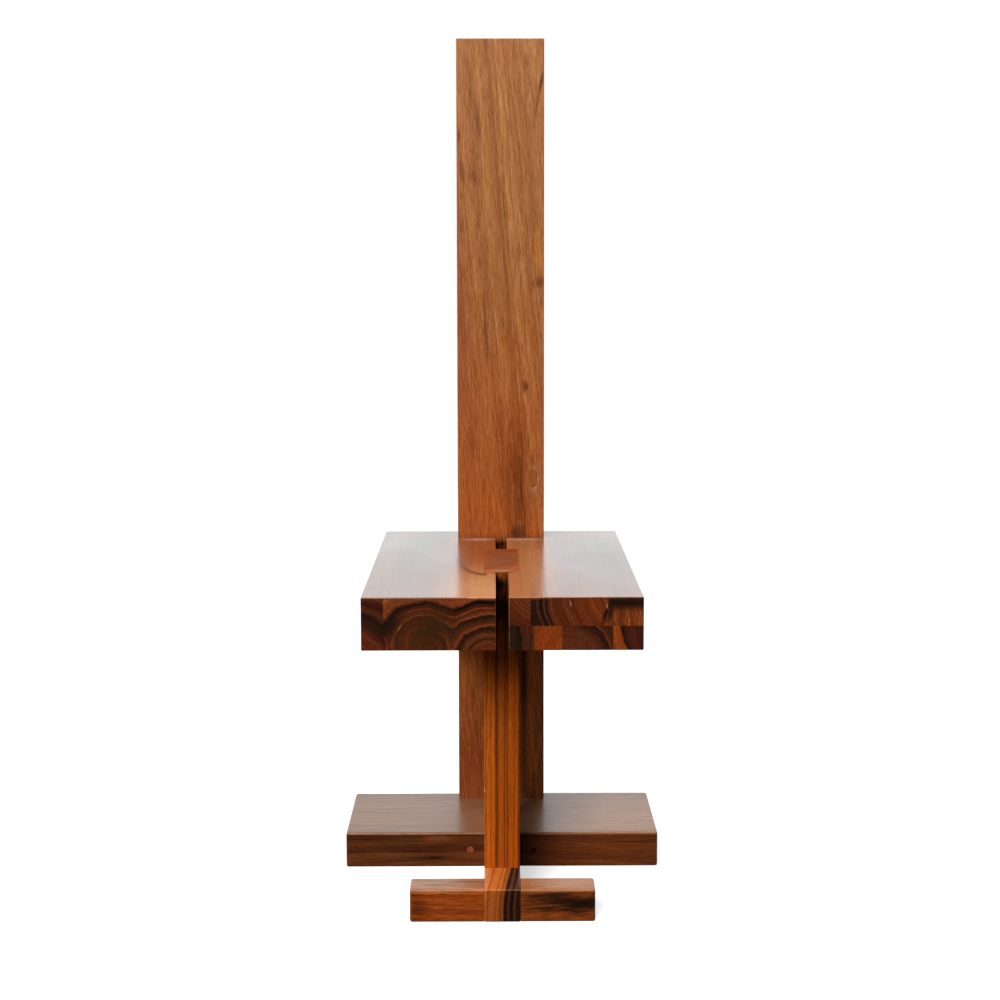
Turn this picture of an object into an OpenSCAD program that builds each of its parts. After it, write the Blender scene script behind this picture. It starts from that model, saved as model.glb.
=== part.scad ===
// High-backed chair made of thick hardwood planks.
// One tall back plank and one post turned edge-on carry a seat of two glued-up slabs with a slot
// between them. The back plank is housed in a wide rear foot. The post stands on a runner whose front
// end is crossed by a short front foot.
// Front is -Y, up is +Z, and the origin is on the floor at the centre of the whole chair.

/* [Overall] */
// Height of the back plank's top above the floor
total_h = 1184; // [1000:1:1300]
// Height of the seat's top above the floor
seat_h = 450; // [400:1:500]
// Leg of the chamfer that breaks every exposed arris
ease = 1.2; // [0.5:0.1:2]

/* [Plank stock] */
// Width of the plank used for the back, the post and the rear foot
plank_w = 128; // [120:1:140]
// Thickness of the back plank, the post and the runner
plank_t = 48; // [44:1:52]

/* [Seat] */
// Width of the seat across both slabs
seat_w = 350; // [330:1:400]
// Depth of the seat from front to back
seat_d = 356; // [340:1:380]
// Thickness of the seat slabs
seat_t = 67; // [60:1:75]
// Width of the slot between the two slabs
slot_w = 16; // [12:1:24]
// How far the post's front face stands behind the seat's front edge
post_setback = 115; // [100:1:125]
// Thickness of the lower layer of the right slab
lower_layer_t = 31; // [26:1:36]

/* [Feet] */
// Length of the rear foot
rear_foot_w = 444; // [400:1:500]
// Height of the rear foot
rear_foot_h = 50; // [46:1:54]
// How far the rear foot's front face stands behind the seat's front edge
rear_foot_setback = 201; // [190:1:210]
// Length of the front foot over both arms
front_foot_w = 243; // [220:1:280]
// Depth of the front foot's arms from front to back
front_foot_d = 31; // [28:1:40]
// Height of the front foot and of the runner
front_foot_h = 44; // [40:1:46]
// How far the front foot's front face stands behind the seat's front edge
front_foot_setback = 59; // [50:1:70]

/* [Patch and fixings] */
// Width of the oval patch let into the back plank
patch_w = 13; // [10:1:16]
// Height of the oval patch
patch_h = 29; // [24:1:36]
// Depth of the patch's pocket
patch_t = 6; // [4:1:8]
// Diameter of the two dowels through the post
post_dowel_d = 12; // [10:1:14]
// Diameter of all other dowels and of the screw plugs
dowel_d = 10; // [8:1:10]
// Depth of the screw plugs in the rear foot
plug_t = 12; // [8:1:16]
// Sideways distance of each screw from the middle
screw_x = 45; // [40:1:50]

/* [Hidden] */
$fn = 48;
over = 1;
front_y = -seat_d / 2;
rear_y = seat_d / 2;
seat_low = seat_h - seat_t;
plank_front = rear_y - plank_t;
plank_mid = rear_y - plank_t / 2;
post_front = front_y + post_setback;
post_rear = post_front + plank_w;
rear_foot_front = front_y + rear_foot_setback;
rear_foot_rear = rear_foot_front + plank_w;
foot_front = front_y + front_foot_setback;
foot_rear = foot_front + front_foot_d;

post_dowel_grip = 36;
post_dowel_inset = 32;
back_dowel_grip = 35;
back_dowel_drops = [18, 49];
foot_dowel_grip = 40;
foot_dowel_heights = [13, 31];
runner_dowel_grip = 35;
runner_dowel_x = 12;
runner_dowel_z = 22;

tenon_t = 20;
tenon_w = 80;
tenon_l = 30;

patch_x = 47;
patch_z = 541;

screw_l = 120;
screw_r = 2.5;
screw_head_r = 4.8;
screw_head_t = 3.2;
screw_tip_l = 8;
screw_z = rear_foot_h / 2;

// Seams between the staves of the slabs, as distances from the chair's middle
left_seam = 147;
upper_seams = [35, 131];
lower_seams = [40, 74, 137];
layer_z = seat_low + lower_layer_t;

// Every stave: its node's name, its sides from left to right, its lower and upper face, its colour
STAVES = [
    ["seat_left_edge_stave", -seat_w / 2, -left_seam, seat_low, seat_h, "saddlebrown"],
    ["seat_left_main_stave", -left_seam, 0, seat_low, seat_h, "sienna"],
    ["seat_right_upper_inner_stave", 0, upper_seams[0], layer_z, seat_h, "peru"],
    ["seat_right_upper_main_stave", upper_seams[0], upper_seams[1], layer_z, seat_h, "sienna"],
    ["seat_right_upper_edge_stave", upper_seams[1], seat_w / 2, layer_z, seat_h, "saddlebrown"],
    ["seat_right_lower_inner_stave", 0, lower_seams[0], seat_low, layer_z, "saddlebrown"],
    ["seat_right_lower_narrow_stave", lower_seams[0], lower_seams[1], seat_low, layer_z, "peru"],
    ["seat_right_lower_main_stave", lower_seams[1], lower_seams[2], seat_low, layer_z, "sienna"],
    ["seat_right_lower_edge_stave", lower_seams[2], seat_w / 2, seat_low, layer_z, "saddlebrown"]
];

// A plain block between its lowest and highest corner
module block(lo, hi) {
    translate(lo) cube(hi - lo);
}

// Cutter that breaks the arris running from a to b along one axis
module arris(a, b) {
    d = b - a;
    turn = d.x > 0 ? [0, 90, 0] : d.y > 0 ? [-90, 0, 0] : [0, 0, 0];
    translate(a) rotate(turn) cylinder(r = ease, h = norm(d), $fn = 4);
}

// A block with all twelve arrises broken
module eased_block(lo, hi) {
    difference() {
        block(lo, hi);
        for (x = [lo.x, hi.x], y = [lo.y, hi.y]) arris([x, y, lo.z], [x, y, hi.z]);
        for (x = [lo.x, hi.x], z = [lo.z, hi.z]) arris([x, lo.y, z], [x, hi.y, z]);
        for (y = [lo.y, hi.y], z = [lo.z, hi.z]) arris([lo.x, y, z], [hi.x, y, z]);
    }
}

// A dowel along X, centred on a point
module dowel_x(at, d, l) {
    translate(at) rotate([0, 90, 0]) cylinder(d = d, h = l, center = true);
}

// A dowel along Y, centred on a point
module dowel_y(at, d, l) {
    translate(at) rotate([90, 0, 0]) cylinder(d = d, h = l, center = true);
}

// Two dowels that cross from slab to slab through the post
module post_seat_dowels_shape() {
    for (y = [post_front + post_dowel_inset, post_rear - post_dowel_inset])
        dowel_x([0, y, seat_h - seat_t / 2], post_dowel_d, plank_t + 2 * post_dowel_grip);
}

// Four dowels that hold the slabs to the back plank's edges
module back_seat_dowels_shape() {
    for (side = [-1, 1], drop = back_dowel_drops)
        dowel_x([side * plank_w / 2, plank_mid, seat_h - drop], dowel_d, 2 * back_dowel_grip);
}

// Two dowels that run through the runner into both arms of the front foot
module front_foot_dowels_shape() {
    for (z = foot_dowel_heights)
        dowel_x([0, (foot_front + foot_rear) / 2, z], dowel_d, plank_t + 2 * foot_dowel_grip);
}

// Two dowels that hold the runner's rear end to the rear foot
module runner_dowels_shape() {
    for (side = [-1, 1])
        dowel_y([side * runner_dowel_x, post_rear, runner_dowel_z], dowel_d, 2 * runner_dowel_grip);
}

// One countersunk wood screw pointing along +Y, with its head's face at the origin
module wood_screw() {
    rotate([-90, 0, 0]) rotate_extrude() polygon([
        [0, 0],
        [screw_head_r, 0],
        [screw_head_r, 0.6],
        [screw_r, screw_head_t],
        [screw_r, screw_l - screw_tip_l],
        [0, screw_l]
    ]);
}

// Two screws through the rear foot into the back plank
module rear_foot_screws_shape() {
    for (side = [-1, 1])
        translate([side * screw_x, rear_foot_front + plug_t, screw_z]) wood_screw();
}

// A plug that hides one screw head
module plug_shape(side) {
    dowel_y([side * screw_x, rear_foot_front + plug_t / 2, screw_z], dowel_d, plug_t);
}

// The oval patch, flush with the back plank's front face
module patch_shape() {
    end_z = (patch_h - patch_w) / 2;
    translate([patch_x, plank_front, patch_z]) {
        translate([-patch_w / 2, 0, -end_z]) cube([patch_w, patch_t, 2 * end_z]);
        for (z = [-end_z, end_z])
            translate([0, patch_t / 2, z]) rotate([90, 0, 0]) cylinder(d = patch_w, h = patch_t, center = true);
    }
}

// The stub tenon under the post, and the mortise it fills in the runner
module post_tenon_shape() {
    y = (post_front + post_rear) / 2;
    block([-tenon_t / 2, y - tenon_w / 2, front_foot_h - tenon_l], [tenon_t / 2, y + tenon_w / 2, front_foot_h]);
}

// Full height of the back plank, square where it is housed and eased where it shows
module back_plank_blank() {
    x = plank_w / 2;
    difference() {
        block([-x, plank_front, 0], [x, rear_y, total_h]);
        for (side = [-1, 1]) {
            for (y = [plank_front, rear_y]) arris([side * x, y, seat_h], [side * x, y, total_h]);
            arris([side * x, plank_front, rear_foot_h], [side * x, plank_front, seat_low]);
            arris([side * x, rear_y, 0], [side * x, rear_y, seat_h]);
            arris([side * x, plank_front, total_h], [side * x, rear_y, total_h]);
        }
        for (y = [plank_front, rear_y]) arris([-x, y, total_h], [x, y, total_h]);
    }
}

module back_plank() {
    color("peru") difference() {
        back_plank_blank();
        patch_shape();
        back_seat_dowels_shape();
        rear_foot_screws_shape();
    }
}

module back_patch() {
    color("chocolate") patch_shape();
}

// The post stands edge-on. Its top is sawn flush with the seat, and its foot has a stub tenon
module front_post() {
    x = plank_t / 2;
    color("chocolate") difference() {
        union() {
            block([-x, post_front, front_foot_h], [x, post_rear, seat_h]);
            post_tenon_shape();
        }
        for (side = [-1, 1], y = [post_front, post_rear])
            arris([side * x, y, rear_foot_h], [side * x, y, seat_low]);
        post_seat_dowels_shape();
    }
}

// Both slabs before they are parted into staves: slot, mortise for the post, housing for the plank
module seat_blank() {
    s = slot_w / 2;
    difference() {
        eased_block([-seat_w / 2, front_y, seat_low], [seat_w / 2, rear_y, seat_h]);
        block([-s, front_y - over, seat_low - over], [s, rear_y + over, seat_h + over]);
        for (side = [-s, s]) {
            for (z = [seat_low, seat_h]) {
                arris([side, front_y, z], [side, post_front, z]);
                arris([side, post_rear, z], [side, plank_front, z]);
            }
            arris([side, front_y, seat_low], [side, front_y, seat_h]);
        }
        block([-plank_t / 2, post_front, seat_low - over], [plank_t / 2, post_rear, seat_h + over]);
        block([-plank_w / 2, plank_front, seat_low - over], [plank_w / 2, rear_y + over, seat_h + over]);
        post_seat_dowels_shape();
        back_seat_dowels_shape();
    }
}

// One stave of a slab
module seat_stave(s) {
    color(s[5]) intersection() {
        seat_blank();
        block([s[1], front_y, s[3]], [s[2], rear_y, s[4]]);
    }
}

// The rear foot, housed at the front round the runner and the post, and at the rear round the plank
module rear_foot() {
    color("saddlebrown") difference() {
        eased_block([-rear_foot_w / 2, rear_foot_front, 0], [rear_foot_w / 2, rear_foot_rear, rear_foot_h]);
        block([-plank_t / 2, rear_foot_front - over, -over], [plank_t / 2, post_rear, rear_foot_h + over]);
        block([-plank_w / 2, plank_front, -over], [plank_w / 2, rear_foot_rear + over, rear_foot_h + over]);
        for (side = [-1, 1]) plug_shape(side);
        rear_foot_screws_shape();
        runner_dowels_shape();
    }
}

// The runner on the floor, with its end grain showing in the middle of the front foot
module foot_runner() {
    x = plank_t / 2;
    color("chocolate") difference() {
        block([-x, foot_front, 0], [x, post_rear, front_foot_h]);
        for (z = [0, front_foot_h]) {
            arris([-x, foot_front, z], [x, foot_front, z]);
            for (side = [-x, x]) arris([side, foot_rear, z], [side, rear_foot_front, z]);
        }
        post_tenon_shape();
        front_foot_dowels_shape();
        runner_dowels_shape();
    }
}

// One arm of the front foot. Its inner end is square against the runner
module front_foot_arm(side) {
    color("sienna") difference() {
        eased_block([-front_foot_w / 2, foot_front, 0], [front_foot_w / 2, foot_rear, front_foot_h]);
        block([side > 0 ? -front_foot_w : -plank_t / 2, foot_front - over, -over],
              [side > 0 ? plank_t / 2 : front_foot_w, foot_rear + over, front_foot_h + over]);
        front_foot_dowels_shape();
    }
}

back_plank();
back_patch();
front_post();
for (s = STAVES) seat_stave(s);
rear_foot();
foot_runner();
front_foot_arm(-1);  // front_foot_left
front_foot_arm(1);  // front_foot_right
color("tan") plug_shape(-1);  // rear_foot_plug_left
color("saddlebrown") plug_shape(1);  // rear_foot_plug_right
color("silver") rear_foot_screws_shape();  // rear_foot_screws
color("burlywood") post_seat_dowels_shape();  // post_seat_dowels
color("burlywood") back_seat_dowels_shape();  // back_seat_dowels
color("burlywood") front_foot_dowels_shape();  // front_foot_dowels
color("burlywood") runner_dowels_shape();  // runner_dowels
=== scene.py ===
"""The finished look of a high-backed chair of oiled and varnished hardwood planks."""
import math

import bmesh
import bpy
import numpy as np
from mathutils import Matrix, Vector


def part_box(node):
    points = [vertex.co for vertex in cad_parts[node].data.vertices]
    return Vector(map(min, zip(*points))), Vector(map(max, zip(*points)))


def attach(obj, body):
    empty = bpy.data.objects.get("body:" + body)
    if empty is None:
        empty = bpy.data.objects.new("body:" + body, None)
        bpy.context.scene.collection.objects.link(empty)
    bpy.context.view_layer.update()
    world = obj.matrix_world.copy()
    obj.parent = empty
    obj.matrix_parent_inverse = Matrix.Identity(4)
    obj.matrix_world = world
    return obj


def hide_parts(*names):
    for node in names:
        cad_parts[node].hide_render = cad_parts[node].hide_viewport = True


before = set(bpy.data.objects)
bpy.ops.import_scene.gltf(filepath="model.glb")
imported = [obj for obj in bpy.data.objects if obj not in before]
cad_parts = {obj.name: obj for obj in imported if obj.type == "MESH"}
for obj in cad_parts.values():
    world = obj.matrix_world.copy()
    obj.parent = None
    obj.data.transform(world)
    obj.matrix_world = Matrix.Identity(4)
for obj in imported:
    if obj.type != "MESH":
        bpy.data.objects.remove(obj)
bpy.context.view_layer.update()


# ---- Camera ---------------------------------------------------------------------------------------
# Stands 0.4 m above the seat and 1.4 m in front of it, and looks slightly down. The lens is shifted
# down, so that the whole chair is in view and its uprights stay nearly upright.
eye = (-0.0090, -1.6188, 0.8701)
look_down = math.radians(4.05)
look_right = math.radians(0.265)
roll = math.radians(-0.1)

ahead = np.array([math.sin(look_right) * math.cos(look_down),
                  math.cos(look_right) * math.cos(look_down),
                  -math.sin(look_down)])
level_right = np.array([math.cos(look_right), -math.sin(look_right), 0.0])
level_up = np.cross(level_right, ahead)
right = level_right * math.cos(roll) + level_up * math.sin(roll)
up = level_up * math.cos(roll) - level_right * math.sin(roll)

camera = bpy.data.objects.new("camera", bpy.data.cameras.new("camera"))
camera.data.lens = 42.85
camera.data.sensor_width = 36.0
camera.data.shift_y = -0.16
camera.data.clip_start = 0.05
pose = np.eye(4)
pose[:3, 0], pose[:3, 1], pose[:3, 2], pose[:3, 3] = right, up, -ahead, eye
camera.matrix_world = Matrix(pose.tolist())
bpy.context.scene.collection.objects.link(camera)
bpy.context.scene.camera = camera


# ---- Floor and light ------------------------------------------------------------------------------
# A round floor of pale matt paint in a dim room. A lit white wall stands behind the chair, one large
# soft lamp hangs above and in front on the left, and a weaker one hangs straight above.
class Finish:
    """Lays out the nodes of one material, or of the sky. Most methods add a node and return its output."""

    def __init__(self, owner):
        owner.use_nodes = True
        owner.node_tree.nodes.clear()
        self.tree = owner.node_tree

    def fill(self, socket, value):
        """Links an output to an input, or sets the input to a number, colour or vector."""
        if isinstance(value, bpy.types.NodeSocket):
            self.tree.links.new(value, socket)
        else:
            socket.default_value = value

    def add(self, kind, inputs, output=0, **settings):
        """Adds a shader node, sets its settings, and fills its inputs, which go by name or number."""
        node = self.tree.nodes.new("ShaderNode" + kind)
        for key, value in settings.items():
            setattr(node, key, value)
        for key, value in inputs.items():
            self.fill(node.inputs[key], value)
        return node.outputs[output]

    def math(self, operation, a, b=0.0, c=0.0):
        return self.add("Math", {0: a, 1: b, 2: c}, operation=operation)

    def vector(self, operation, a, b=(0.0, 0.0, 0.0)):
        output = "Value" if operation in ("LENGTH", "DOT_PRODUCT") else "Vector"
        return self.add("VectorMath", {0: a, 1: b}, output, operation=operation)

    def stretch(self, vector, across, along):
        """Scales a log's coordinates, so that a pattern has `across` and `along` features a metre."""
        return self.vector("MULTIPLY", vector, (across, across, along))

    def wander(self, noise, reach):
        """Turns a coloured noise into a shift across the grain, of up to half of reach each way."""
        centred = self.vector("SUBTRACT", noise, (0.5, 0.5, 0.5))
        return self.vector("MULTIPLY", centred, (reach, reach, 0.0))

    def noise(self, vector, detail=2.0, rough=0.5, output="Fac"):
        inputs = {"Vector": vector, "Scale": 1.0, "Detail": detail, "Roughness": rough}
        return self.add("TexNoise", inputs, output)

    def remap(self, value, low, high, to_low=0.0, to_high=1.0):
        """A smooth step from to_low at low to to_high at high."""
        inputs = {"Value": value, "From Min": low, "From Max": high, "To Min": to_low, "To Max": to_high}
        return self.add("MapRange", inputs, interpolation_type="SMOOTHSTEP")

    def mix(self, share, a, b, way="MIX"):
        """Blends colours a and b by share."""
        node = self.tree.nodes.new("ShaderNodeMix")
        node.data_type = "RGBA"
        node.blend_type = way
        colours = [socket for socket in node.inputs if socket.type == "RGBA"]
        for socket, value in zip((node.inputs["Factor"], *colours), (share, a, b)):
            self.fill(socket, value)
        return next(socket for socket in node.outputs if socket.type == "RGBA")

    def ramp(self, value, stops):
        """Colours by value: a list of (value, colour), which has to rise."""
        node = self.tree.nodes.new("ShaderNodeValToRGB")
        points = node.color_ramp.elements
        points[0].position, points[0].color = stops[0]
        points[1].position, points[1].color = stops[-1]
        for position, colour in stops[1:-1]:
            points.new(position).color = colour
        self.tree.links.new(value, node.inputs[0])
        return node.outputs[0]

    def show(self, shader, output="OutputMaterial"):
        """Links the finished shader to what is seen."""
        self.fill(self.tree.nodes.new("ShaderNode" + output).inputs[0], shader)


def soft_lamp(name, place, target, size, watts, colour):
    """A square area lamp at place that faces target."""
    lamp = bpy.data.objects.new(name, bpy.data.lights.new(name, "AREA"))
    lamp.data.shape = "SQUARE"
    lamp.data.size = size
    lamp.data.energy = watts
    lamp.data.color = colour
    away = np.array(place) - np.array(target)
    away = away / np.linalg.norm(away)
    side = np.cross((0.0, 1.0, 0.0), away)
    side = side / np.linalg.norm(side)
    turn = np.eye(4)
    turn[:3, 0], turn[:3, 1], turn[:3, 2], turn[:3, 3] = side, np.cross(away, side), away, place
    lamp.matrix_world = Matrix(turn.tolist())
    bpy.context.scene.collection.objects.link(lamp)


floor_reach = 2.6
floor_corners = 96
around = np.linspace(0, 2 * np.pi, floor_corners, endpoint=False)
floor_rim = np.column_stack([floor_reach * np.cos(around), floor_reach * np.sin(around), 0 * around])
floor_mesh = bpy.data.meshes.new("floor")
floor_mesh.from_pydata(floor_rim.tolist(), [], [list(range(floor_corners))])
floor = bpy.data.objects.new("floor", floor_mesh)
bpy.context.scene.collection.objects.link(floor)
floor.visible_diffuse = False
floor.visible_glossy = False

floor_paint = bpy.data.materials.new("pale_floor")
paint = Finish(floor_paint)
paint.show(paint.add("BsdfPrincipled", {
    "Base Color": (0.80, 0.80, 0.80, 1), "Roughness": 0.9, "Specular IOR Level": 0.1,
    "Emission Color": (1.0, 1.0, 1.0, 1), "Emission Strength": 0.6}))
floor_mesh.materials.append(floor_paint)

sky = bpy.data.worlds.new("studio")
air = Finish(sky)
room_low = (0.05, 0.05, 0.05, 1)
room_high = (0.07, 0.07, 0.07, 1)
lit_wall = (1.76, 2.08, 2.18, 1)
backdrop = (1.0, 1.0, 1.0, 1)
direction = air.add("TexCoord", {}, "Generated")
upwards = air.vector("DOT_PRODUCT", direction, (0.0, 0.0, 1.0))
backwards = air.vector("DOT_PRODUCT", direction, (0.0, 1.0, 0.0))
over_floor = air.remap(upwards, -0.05, 0.10)
under_ceiling = air.remap(upwards, 0.55, 0.80, to_low=1.0, to_high=0.0)
behind = air.remap(backwards, 0.30, 0.62)
on_wall = air.math("MULTIPLY", air.math("MULTIPLY", over_floor, under_ceiling), behind)
wall = air.mix(on_wall, air.mix(over_floor, room_low, room_high), lit_wall)
seen = air.mix(air.add("LightPath", {}, "Is Camera Ray"), wall, backdrop)
air.show(air.add("Background", {"Color": seen}), "OutputWorld")
bpy.context.scene.world = sky
bpy.context.scene.view_settings.view_transform = "Standard"

chair_middle = (0.0, 0.0, 0.4)
lamp_white = (1.0, 0.99, 0.97)
soft_lamp("lamp_left_front", (-1.25, -1.95, 2.33), chair_middle, size=1.9, watts=134.0, colour=lamp_white)
soft_lamp("lamp_above", (0.2, -0.1, 2.9), chair_middle, size=1.6, watts=26.0, colour=lamp_white)


# ---- Back plank -----------------------------------------------------------------------------------
# One tall plank, sawn and planed from solid timber, with every arris broken by hand. It is housed in
# the seat and in the rear foot, and runs unbroken from the floor to its square top.
def planed_board(name, corners, low, high, open_top=True, open_bottom=True, ease=0.0012):
    """A board of plan `corners`, carried straight up from low to high, with its open arrises rounded.

    Each corner is (x, y, open), where open says whether the wall from it to the next corner is in the
    air. The mesh is the plan at height low, the plan at height high, the walls between them, and the two
    ends. An arris between two open faces gets a bevel weight of one, and every other edge stays sharp.
    """
    plan = np.array([c[:2] for c in corners], float)
    open_wall = np.array([c[2] for c in corners], float)
    count = len(plan)
    ring = np.arange(count)
    after = np.roll(ring, -1)
    points = np.concatenate([np.column_stack([plan, np.full(count, low)]),
                             np.column_stack([plan, np.full(count, high)])])
    walls = np.column_stack([ring, after, after + count, ring + count])
    mesh = bpy.data.meshes.new(name)
    mesh.from_pydata(points.tolist(), [], [ring[::-1].tolist(), (ring + count).tolist(), *walls.tolist()])

    pairs = np.zeros(len(mesh.edges) * 2, int)
    mesh.edges.foreach_get("vertices", pairs)
    pairs = np.sort(pairs.reshape(-1, 2), axis=1)
    first, second = pairs[:, 0] % count, pairs[:, 1] % count
    upright = first == second
    wall = np.where(np.abs(second - first) == 1, np.minimum(first, second), np.maximum(first, second))
    on_top = pairs[:, 0] >= count
    ahead_edge, back_edge = np.roll(plan, -1, 0) - plan, plan - np.roll(plan, 1, 0)
    outward_corner = back_edge[:, 0] * ahead_edge[:, 1] - back_edge[:, 1] * ahead_edge[:, 0] > 0
    soft_corner = open_wall * np.roll(open_wall, 1) * outward_corner
    soft_rim = open_wall[wall] * np.where(on_top, float(open_top), float(open_bottom))
    softness = np.where(upright, soft_corner[first], soft_rim)
    mesh.attributes.new("bevel_weight_edge", "FLOAT", "EDGE").data.foreach_set("value", softness)
    mesh.attributes.new("sharp_edge", "BOOLEAN", "EDGE").data.foreach_set("value", softness == 0)
    mesh.polygons.foreach_set("use_smooth", np.ones(len(mesh.polygons), bool))

    board = bpy.data.objects.new(name, mesh)
    bpy.context.scene.collection.objects.link(board)
    rounding = board.modifiers.new("broken_arrises", "BEVEL")
    rounding.width = ease
    rounding.segments = 4
    rounding.limit_method = "WEIGHT"
    rounding.harden_normals = True
    return board


def cut(board, cutter):
    """Cuts the cutter's shape out of the board for good, and takes the cutter away.

    The board's old normals are cleared, because its new faces have none.
    """
    hole = board.modifiers.new("hole", "BOOLEAN")
    hole.operation = "DIFFERENCE"
    hole.solver = "EXACT"
    hole.object = cutter
    finished = bpy.data.meshes.new_from_object(board.evaluated_get(bpy.context.evaluated_depsgraph_get()))
    finished.normals_split_custom_set([(0.0, 0.0, 0.0)] * len(finished.loops))
    board.modifiers.clear()
    board.data = finished
    bpy.data.objects.remove(cutter)


def bore_for(board, fixings):
    """Cuts a snug hole for each dowel or screw of a CAD node, from a merged copy of that node."""
    body = bmesh.new()
    body.from_mesh(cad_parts[fixings].data)
    bmesh.ops.remove_doubles(body, verts=body.verts, dist=1e-6)
    copy = bpy.data.meshes.new("cutter")
    body.to_mesh(copy)
    body.free()
    cutter = bpy.data.objects.new("cutter", copy)
    bpy.context.scene.collection.objects.link(cutter)
    cut(board, cutter)


def tone(chart):
    """A colour from a 0 to 255 paint chart, as the linear values that light works with."""
    share = np.array(chart) / 255
    linear = np.where(share <= 0.04045, share / 12.92, ((share + 0.055) / 1.055) ** 2.4)
    return (*linear.tolist(), 1.0)


# Where each grain points, and the degrees that turn a log's own Z to it
GRAIN = {"X": (1, 0, 0), "Y": (0, 1, 0), "Z": (0, 0, 1)}
GRAIN_TURN = {"X": (0, 90, 0), "Y": (-90, 0, 0), "Z": (0, 0, 0)}
# The arris colour: handling wear and a painted highlight on the rounded edges
RUBBED_AND_HIGHLIT = tone((196, 132, 84))


def pith(point, lean=(0.0, 0.0), further=0.0):
    """The line that a log's rings go round: a point on it, its lean in degrees about each of the two axes
    across the grain, and how many millimetres further out its rings count."""
    return point, lean, further


def mark(centre, half, colour, share, swell=0.0, slope=0.0):
    """A soft-edged patch of another colour: a figure in the wood, or painted light or shade.

    half holds its half sizes and share says how much of its own colour shows. The rings swell round it by
    swell millimetres, and it moves along X by slope for each step up.
    """
    return centre, half, colour, share, swell, slope


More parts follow.
